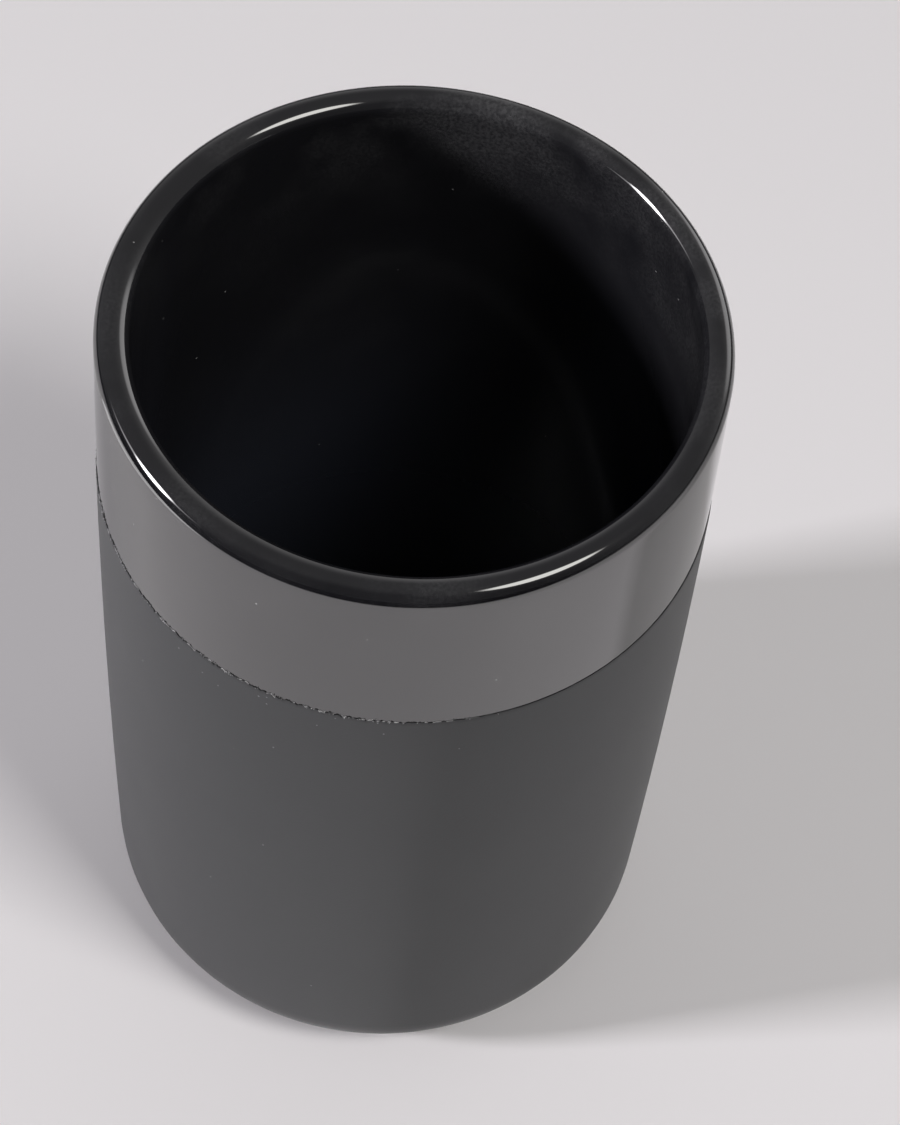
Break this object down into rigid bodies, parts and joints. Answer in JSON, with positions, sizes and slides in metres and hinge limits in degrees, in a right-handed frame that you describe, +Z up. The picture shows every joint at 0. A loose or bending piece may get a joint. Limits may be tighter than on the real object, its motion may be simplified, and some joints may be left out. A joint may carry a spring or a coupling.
{
  "type": "candle jar",
  "caption": "Tall round stoneware candle jar, open at the top, with a full round gloss lip and band, a matte coated lower body and a bare foot ring.",
  "frame": {"origin": "centre of the foot ring, on the surface the jar stands on", "axes": "+Z up along the jar's axis, out of its mouth; +X and +Y are arbitrary because the jar is round"},
  "size_m": [0.083, 0.083, 0.1345],
  "materials": {
    "bare_stoneware": "unglazed fired clay, dry and matte",
    "gloss_glaze": "black gloss glaze",
    "soft_touch_coating": "sprayed soft-touch coating, matte dark grey"
  },
  "bodies": {
    "root": {"stoneware_body": "bare_stoneware", "gloss_glaze": "gloss_glaze", "recess_glaze": "gloss_glaze", "matte_coating": "soft_touch_coating"}
  },
  "joints": []
}
